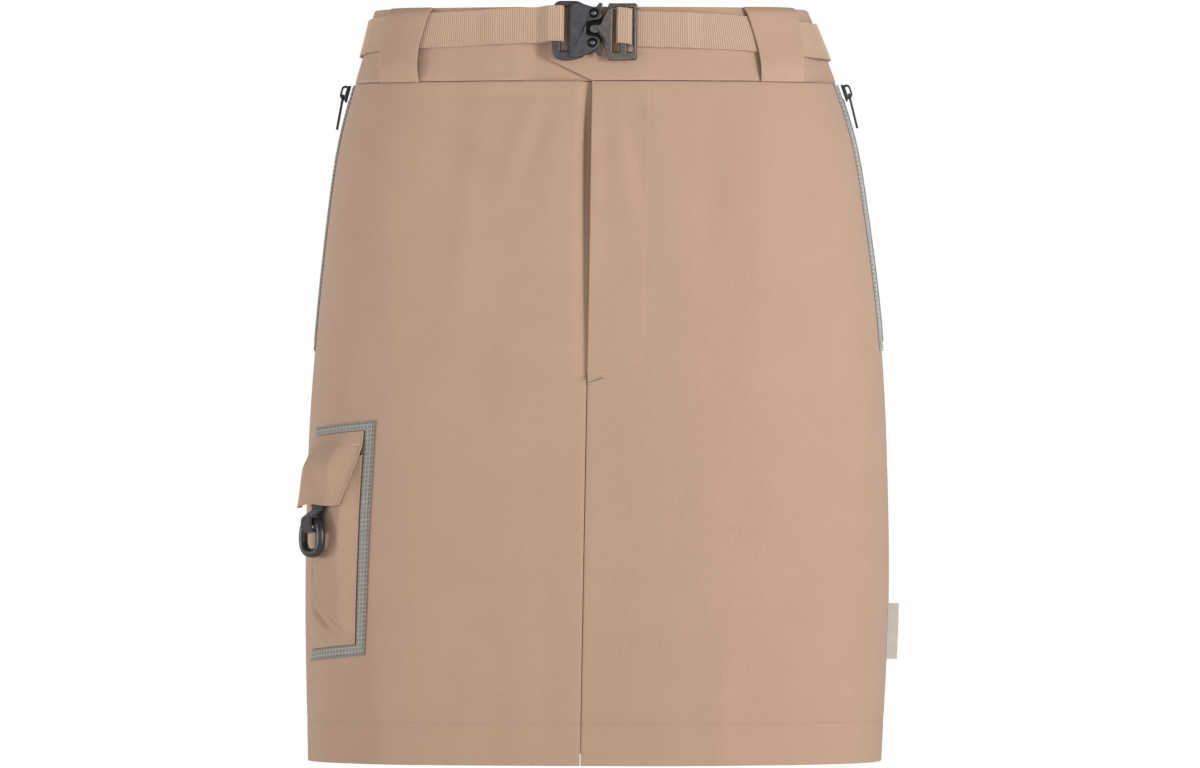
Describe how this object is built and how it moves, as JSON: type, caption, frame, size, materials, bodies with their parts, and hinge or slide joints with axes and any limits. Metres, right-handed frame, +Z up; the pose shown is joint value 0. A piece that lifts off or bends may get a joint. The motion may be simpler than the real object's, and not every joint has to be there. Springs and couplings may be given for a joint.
{
  "type": "cargo utility skirt",
  "caption": "Straight knee-length cargo skirt with a webbing belt and metal buckle, wide belt loops, zipped side pockets and a flapped thigh pocket with a ring.",
  "frame": {"origin": "middle of the waistband, half way up it, where the wearer's waist holds the skirt", "axes": "+Z up the skirt from hem to waist; the front faces -Y; +X is the wearer's left"},
  "size_m": [0.3982, 0.2377, 0.5036],
  "materials": {
    "cloth": "smooth dusty tan cotton twill, matt",
    "webbing": "ribbed tan webbing, matt",
    "zip_tape": "grey woven tape with a fine grid, matt",
    "buckle_metal": "dark grey satin metal",
    "rivet_metal": "polished domed rivet heads",
    "black_plastic": "black moulded plastic",
    "black_webbing": "flat black woven tape",
    "label_cloth": "off-white woven label, blank"
  },
  "bodies": {
    "skirt": {"front_panel_right": "cloth", "front_panel_left": "cloth", "back_panel": "cloth", "waistband_front_right": "cloth", "waistband_front_left": "cloth", "waistband_back": "cloth", "belt_loop_front_right": "cloth", "belt_loop_front_left": "cloth", "belt_loop_back_left": "cloth", "belt_loop_back_right": "cloth", "belt_strap": "webbing", "buckle_socket_base": "buckle_metal", "buckle_socket_cover": "buckle_metal", "buckle_tongue": "buckle_metal", "buckle_pawl_upper": "buckle_metal", "buckle_pawl_lower": "buckle_metal", "buckle_rivet_upper": "rivet_metal", "buckle_rivet_lower": "rivet_metal", "side_zip_tape_left": "zip_tape", "side_zip_slider_left": "black_plastic", "side_zip_tape_right": "zip_tape", "side_zip_slider_right": "black_plastic", "pocket_frame_tape": "zip_tape", "pocket_bag": "cloth", "pocket_flap": "cloth", "pocket_ring_strap": "black_webbing", "side_label": "label_cloth"},
    "zip_pull_left": {"side_zip_pull_left": "black_plastic"},
    "zip_pull_right": {"side_zip_pull_right": "black_plastic"},
    "ring": {"pocket_ring": "black_plastic"}
  },
  "joints": [
    {"name": "zip_pull_left_swing", "type": "hinge", "parent": "skirt", "child": "zip_pull_left", "pos_m": [0.16828, 0, -0.03094], "axis": [0, -1, 0], "range_deg": [0, 120]},
    {"name": "zip_pull_right_swing", "type": "hinge", "parent": "skirt", "child": "zip_pull_right", "pos_m": [-0.16983, 0, -0.0313], "axis": [0, 1, 0], "range_deg": [0, 120]},
    {"name": "ring_swing", "type": "hinge", "parent": "skirt", "child": "ring", "pos_m": [-0.18496, -0.07042, -0.31497], "axis": [-0.6553, 0.7553, 0], "range_deg": [0, 70]}
  ]
}
